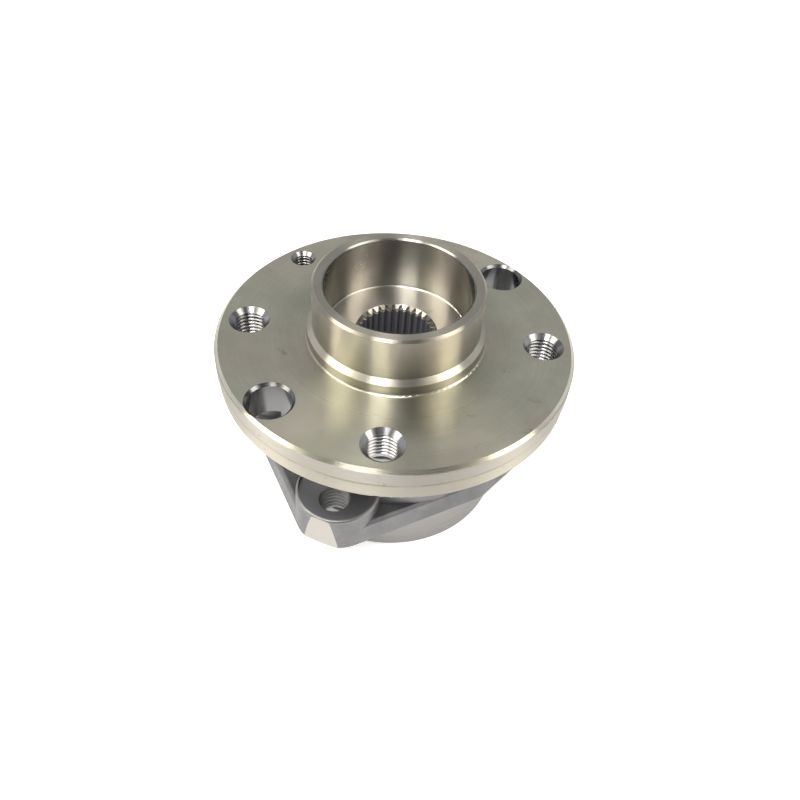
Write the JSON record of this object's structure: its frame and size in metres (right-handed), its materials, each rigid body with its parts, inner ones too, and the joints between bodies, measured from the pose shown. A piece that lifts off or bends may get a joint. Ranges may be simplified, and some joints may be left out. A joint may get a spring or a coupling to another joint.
{
  "type": "wheel hub bearing",
  "caption": "Driven-wheel hub bearing: a drilled hub flange with wheel spigot and splined bore, turning on ball rows in an eared outer ring.",
  "frame": {"origin": "bearing axis at the outer ring's inboard end, on which the unit stands", "axes": "+Z along the bearing axis, outboard towards the wheel; +X through a wheel bolt hole"},
  "size_m": [0.121, 0.121, 0.086],
  "materials": {
    "hub_steel": "fine turned steel, satin",
    "forged_steel": "forged steel with turned pilot and end faces",
    "ring_steel": "ground bearing steel",
    "ball_steel": "polished bearing steel",
    "cage_nylon": "moulded glass-filled nylon",
    "seal_rubber": "matt nitrile rubber",
    "seal_steel": "pressed sheet steel"
  },
  "bodies": {
    "knuckle_side": {"outer_ring": "forged_steel", "outboard_seal_case": "seal_steel", "outboard_seal_lip": "seal_rubber", "inboard_seal_case": "seal_steel", "inboard_seal_lip": "seal_rubber"},
    "wheel_side": {"hub": "hub_steel", "inner_ring": "ring_steel", "inboard_slinger": "seal_steel"},
    "outboard_cage_ring": {"outboard_cage": "cage_nylon"},
    "inboard_cage_ring": {"inboard_cage": "cage_nylon"},
    "outboard_ball_01": {"outboard_ball_01": "ball_steel"},
    "outboard_ball_02": {"outboard_ball_02": "ball_steel"},
    "outboard_ball_03": {"outboard_ball_03": "ball_steel"},
    "outboard_ball_04": {"outboard_ball_04": "ball_steel"},
    "outboard_ball_05": {"outboard_ball_05": "ball_steel"},
    "outboard_ball_06": {"outboard_ball_06": "ball_steel"},
    "outboard_ball_07": {"outboard_ball_07": "ball_steel"},
    "outboard_ball_08": {"outboard_ball_08": "ball_steel"},
    "outboard_ball_09": {"outboard_ball_09": "ball_steel"},
    "outboard_ball_10": {"outboard_ball_10": "ball_steel"},
    "outboard_ball_11": {"outboard_ball_11": "ball_steel"},
    "outboard_ball_12": {"outboard_ball_12": "ball_steel"},
    "outboard_ball_13": {"outboard_ball_13": "ball_steel"},
    "outboard_ball_14": {"outboard_ball_14": "ball_steel"},
    "inboard_ball_01": {"inboard_ball_01": "ball_steel"},
    "inboard_ball_02": {"inboard_ball_02": "ball_steel"},
    "inboard_ball_03": {"inboard_ball_03": "ball_steel"},
    "inboard_ball_04": {"inboard_ball_04": "ball_steel"},
    "inboard_ball_05": {"inboard_ball_05": "ball_steel"},
    "inboard_ball_06": {"inboard_ball_06": "ball_steel"},
    "inboard_ball_07": {"inboard_ball_07": "ball_steel"},
    "inboard_ball_08": {"inboard_ball_08": "ball_steel"},
    "inboard_ball_09": {"inboard_ball_09": "ball_steel"},
    "inboard_ball_10": {"inboard_ball_10": "ball_steel"},
    "inboard_ball_11": {"inboard_ball_11": "ball_steel"},
    "inboard_ball_12": {"inboard_ball_12": "ball_steel"},
    "inboard_ball_13": {"inboard_ball_13": "ball_steel"},
    "inboard_ball_14": {"inboard_ball_14": "ball_steel"}
  },
  "joints": [
    {"name": "hub_spin", "type": "hinge", "parent": "knuckle_side", "child": "wheel_side", "pos_m": [0, 0, 0.025], "axis": [0, 0, 1], "continuous": true},
    {"name": "outboard_cage_spin", "type": "hinge", "parent": "knuckle_side", "child": "outboard_cage_ring", "pos_m": [0, 0, 0.035], "axis": [0, 0, 1], "continuous": true},
    {"name": "inboard_cage_spin", "type": "hinge", "parent": "knuckle_side", "child": "inboard_cage_ring", "pos_m": [0, 0, 0.0155], "axis": [0, 0, 1], "continuous": true},
    {"name": "outboard_ball_01_roll", "type": "hinge", "parent": "outboard_cage_ring", "child": "outboard_ball_01", "pos_m": [0.03, 0, 0.035], "axis": [0.6428, 0, 0.766], "continuous": true},
    {"name": "outboard_ball_02_roll", "type": "hinge", "parent": "outboard_cage_ring", "child": "outboard_ball_02", "pos_m": [0.02703, 0.01302, 0.035], "axis": [0.5791, 0.2789, 0.766], "continuous": true},
    {"name": "outboard_ball_03_roll", "type": "hinge", "parent": "outboard_cage_ring", "child": "outboard_ball_03", "pos_m": [0.0187, 0.02345, 0.035], "axis": [0.4008, 0.5026, 0.766], "continuous": true},
    {"name": "outboard_ball_04_roll", "type": "hinge", "parent": "outboard_cage_ring", "child": "outboard_ball_04", "pos_m": [0.00668, 0.02925, 0.035], "axis": [0.143, 0.6267, 0.766], "continuous": true},
    {"name": "outboard_ball_05_roll", "type": "hinge", "parent": "outboard_cage_ring", "child": "outboard_ball_05", "pos_m": [-0.00668, 0.02925, 0.035], "axis": [-0.143, 0.6267, 0.766], "continuous": true},
    {"name": "outboard_ball_06_roll", "type": "hinge", "parent": "outboard_cage_ring", "child": "outboard_ball_06", "pos_m": [-0.0187, 0.02345, 0.035], "axis": [-0.4008, 0.5026, 0.766], "continuous": true},
    {"name": "outboard_ball_07_roll", "type": "hinge", "parent": "outboard_cage_ring", "child": "outboard_ball_07", "pos_m": [-0.02703, 0.01302, 0.035], "axis": [-0.5791, 0.2789, 0.766], "continuous": true},
    {"name": "outboard_ball_08_roll", "type": "hinge", "parent": "outboard_cage_ring", "child": "outboard_ball_08", "pos_m": [-0.03, 0, 0.035], "axis": [-0.6428, 0, 0.766], "continuous": true},
    {"name": "outboard_ball_09_roll", "type": "hinge", "parent": "outboard_cage_ring", "child": "outboard_ball_09", "pos_m": [-0.02703, -0.01302, 0.035], "axis": [-0.5791, -0.2789, 0.766], "continuous": true},
    {"name": "outboard_ball_10_roll", "type": "hinge", "parent": "outboard_cage_ring", "child": "outboard_ball_10", "pos_m": [-0.0187, -0.02345, 0.035], "axis": [-0.4008, -0.5026, 0.766], "continuous": true},
    {"name": "outboard_ball_11_roll", "type": "hinge", "parent": "outboard_cage_ring", "child": "outboard_ball_11", "pos_m": [-0.00668, -0.02925, 0.035], "axis": [-0.143, -0.6267, 0.766], "continuous": true},
    {"name": "outboard_ball_12_roll", "type": "hinge", "parent": "outboard_cage_ring", "child": "outboard_ball_12", "pos_m": [0.00668, -0.02925, 0.035], "axis": [0.143, -0.6267, 0.766], "continuous": true},
    {"name": "outboard_ball_13_roll", "type": "hinge", "parent": "outboard_cage_ring", "child": "outboard_ball_13", "pos_m": [0.0187, -0.02345, 0.035], "axis": [0.4008, -0.5026, 0.766], "continuous": true},
    {"name": "outboard_ball_14_roll", "type": "hinge", "parent": "outboard_cage_ring", "child": "outboard_ball_14", "pos_m": [0.02703, -0.01302, 0.035], "axis": [0.5791, -0.2789, 0.766], "continuous": true},
    {"name": "inboard_ball_01_roll", "type": "hinge", "parent": "inboard_cage_ring", "child": "inboard_ball_01", "pos_m": [0.02925, 0.00668, 0.0155], "axis": [-0.6267, -0.143, 0.766], "continuous": true},
    {"name": "inboard_ball_02_roll", "type": "hinge", "parent": "inboard_cage_ring", "child": "inboard_ball_02", "pos_m": [0.02345, 0.0187, 0.0155], "axis": [-0.5026, -0.4008, 0.766], "continuous": true},
    {"name": "inboard_ball_03_roll", "type": "hinge", "parent": "inboard_cage_ring", "child": "inboard_ball_03", "pos_m": [0.01302, 0.02703, 0.0155], "axis": [-0.2789, -0.5791, 0.766], "continuous": true},
    {"name": "inboard_ball_04_roll", "type": "hinge", "parent": "inboard_cage_ring", "child": "inboard_ball_04", "pos_m": [0, 0.03, 0.0155], "axis": [0, -0.6428, 0.766], "continuous": true},
    {"name": "inboard_ball_05_roll", "type": "hinge", "parent": "inboard_cage_ring", "child": "inboard_ball_05", "pos_m": [-0.01302, 0.02703, 0.0155], "axis": [0.2789, -0.5791, 0.766], "continuous": true},
    {"name": "inboard_ball_06_roll", "type": "hinge", "parent": "inboard_cage_ring", "child": "inboard_ball_06", "pos_m": [-0.02345, 0.0187, 0.0155], "axis": [0.5026, -0.4008, 0.766], "continuous": true},
    {"name": "inboard_ball_07_roll", "type": "hinge", "parent": "inboard_cage_ring", "child": "inboard_ball_07", "pos_m": [-0.02925, 0.00668, 0.0155], "axis": [0.6267, -0.143, 0.766], "continuous": true},
    {"name": "inboard_ball_08_roll", "type": "hinge", "parent": "inboard_cage_ring", "child": "inboard_ball_08", "pos_m": [-0.02925, -0.00668, 0.0155], "axis": [0.6267, 0.143, 0.766], "continuous": true},
    {"name": "inboard_ball_09_roll", "type": "hinge", "parent": "inboard_cage_ring", "child": "inboard_ball_09", "pos_m": [-0.02345, -0.0187, 0.0155], "axis": [0.5026, 0.4008, 0.766], "continuous": true},
    {"name": "inboard_ball_10_roll", "type": "hinge", "parent": "inboard_cage_ring", "child": "inboard_ball_10", "pos_m": [-0.01302, -0.02703, 0.0155], "axis": [0.2789, 0.5791, 0.766], "continuous": true},
    {"name": "inboard_ball_11_roll", "type": "hinge", "parent": "inboard_cage_ring", "child": "inboard_ball_11", "pos_m": [0, -0.03, 0.0155], "axis": [0, 0.6428, 0.766], "continuous": true},
    {"name": "inboard_ball_12_roll", "type": "hinge", "parent": "inboard_cage_ring", "child": "inboard_ball_12", "pos_m": [0.01302, -0.02703, 0.0155], "axis": [-0.2789, 0.5791, 0.766], "continuous": true},
    {"name": "inboard_ball_13_roll", "type": "hinge", "parent": "inboard_cage_ring", "child": "inboard_ball_13", "pos_m": [0.02345, -0.0187, 0.0155], "axis": [-0.5026, 0.4008, 0.766], "continuous": true},
    {"name": "inboard_ball_14_roll", "type": "hinge", "parent": "inboard_cage_ring", "child": "inboard_ball_14", "pos_m": [0.02925, -0.00668, 0.0155], "axis": [-0.6267, 0.143, 0.766], "continuous": true}
  ],
  "couplings": [
    {"joint": "outboard_cage_spin", "follows": "hub_spin", "ratio": 0.42403},
    {"joint": "inboard_cage_spin", "follows": "hub_spin", "ratio": 0.42403},
    {"joint": "outboard_ball_01_roll", "follows": "hub_spin", "ratio": -2.4628},
    {"joint": "outboard_ball_02_roll", "follows": "hub_spin", "ratio": -2.4628},
    {"joint": "outboard_ball_03_roll", "follows": "hub_spin", "ratio": -2.4628},
    {"joint": "outboard_ball_04_roll", "follows": "hub_spin", "ratio": -2.4628},
    {"joint": "outboard_ball_05_roll", "follows": "hub_spin", "ratio": -2.4628},
    {"joint": "outboard_ball_06_roll", "follows": "hub_spin", "ratio": -2.4628},
    {"joint": "outboard_ball_07_roll", "follows": "hub_spin", "ratio": -2.4628},
    {"joint": "outboard_ball_08_roll", "follows": "hub_spin", "ratio": -2.4628},
    {"joint": "outboard_ball_09_roll", "follows": "hub_spin", "ratio": -2.4628},
    {"joint": "outboard_ball_10_roll", "follows": "hub_spin", "ratio": -2.4628},
    {"joint": "outboard_ball_11_roll", "follows": "hub_spin", "ratio": -2.4628},
    {"joint": "outboard_ball_12_roll", "follows": "hub_spin", "ratio": -2.4628},
    {"joint": "outboard_ball_13_roll", "follows": "hub_spin", "ratio": -2.4628},
    {"joint": "outboard_ball_14_roll", "follows": "hub_spin", "ratio": -2.4628},
    {"joint": "inboard_ball_01_roll", "follows": "hub_spin", "ratio": -2.4628},
    {"joint": "inboard_ball_02_roll", "follows": "hub_spin", "ratio": -2.4628},
    {"joint": "inboard_ball_03_roll", "follows": "hub_spin", "ratio": -2.4628},
    {"joint": "inboard_ball_04_roll", "follows": "hub_spin", "ratio": -2.4628},
    {"joint": "inboard_ball_05_roll", "follows": "hub_spin", "ratio": -2.4628},
    {"joint": "inboard_ball_06_roll", "follows": "hub_spin", "ratio": -2.4628},
    {"joint": "inboard_ball_07_roll", "follows": "hub_spin", "ratio": -2.4628},
    {"joint": "inboard_ball_08_roll", "follows": "hub_spin", "ratio": -2.4628},
    {"joint": "inboard_ball_09_roll", "follows": "hub_spin", "ratio": -2.4628},
    {"joint": "inboard_ball_10_roll", "follows": "hub_spin", "ratio": -2.4628},
    {"joint": "inboard_ball_11_roll", "follows": "hub_spin", "ratio": -2.4628},
    {"joint": "inboard_ball_12_roll", "follows": "hub_spin", "ratio": -2.4628},
    {"joint": "inboard_ball_13_roll", "follows": "hub_spin", "ratio": -2.4628},
    {"joint": "inboard_ball_14_roll", "follows": "hub_spin", "ratio": -2.4628}
  ]
}
